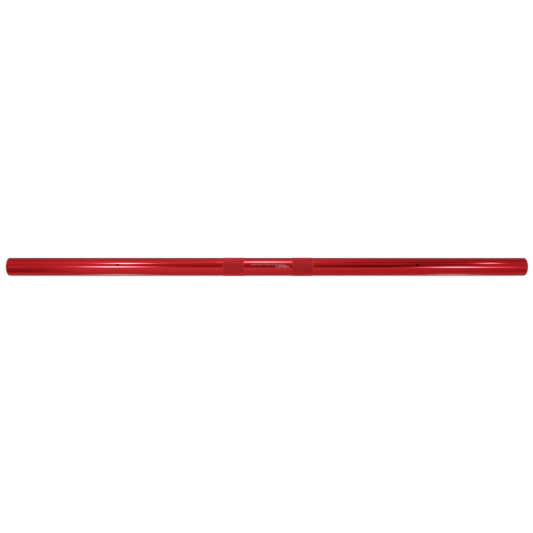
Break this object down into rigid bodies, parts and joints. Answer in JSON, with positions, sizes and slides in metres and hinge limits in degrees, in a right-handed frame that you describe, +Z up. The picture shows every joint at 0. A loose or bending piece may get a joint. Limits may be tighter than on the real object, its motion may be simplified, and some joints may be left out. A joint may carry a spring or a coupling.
{
  "type": "straight handlebar",
  "caption": "Straight red-anodised aluminium handlebar tube with raised knurled clamp bands, switch-housing pin holes and push-in end plugs.",
  "frame": {"origin": "on the bar's axis at the middle of its length, halfway between the two clamp bands", "axes": "+X along the bar towards its right end as seen from the side the locating-pin holes open on, -Y towards that side, +Z up"},
  "size_m": [0.645, 0.0228, 0.0228],
  "materials": {
    "red_anodised": "bright dip-anodised red, polished; matte diamond knurl on the two clamp bands",
    "left_plug_polymer": "moulded black polymer, fine matte",
    "right_plug_polymer": "moulded black polymer, fine matte"
  },
  "bodies": {
    "bar": {"bar_tube": "red_anodised"},
    "left_plug": {"left_end_plug": "left_plug_polymer"},
    "right_plug": {"right_end_plug": "right_plug_polymer"}
  },
  "joints": [
    {"name": "left_plug_slide", "type": "slide", "parent": "bar", "child": "left_plug", "axis": [-1, 0, 0], "range_m": [0, 0.03]},
    {"name": "right_plug_slide", "type": "slide", "parent": "bar", "child": "right_plug", "axis": [1, 0, 0], "range_m": [0, 0.03]}
  ]
}
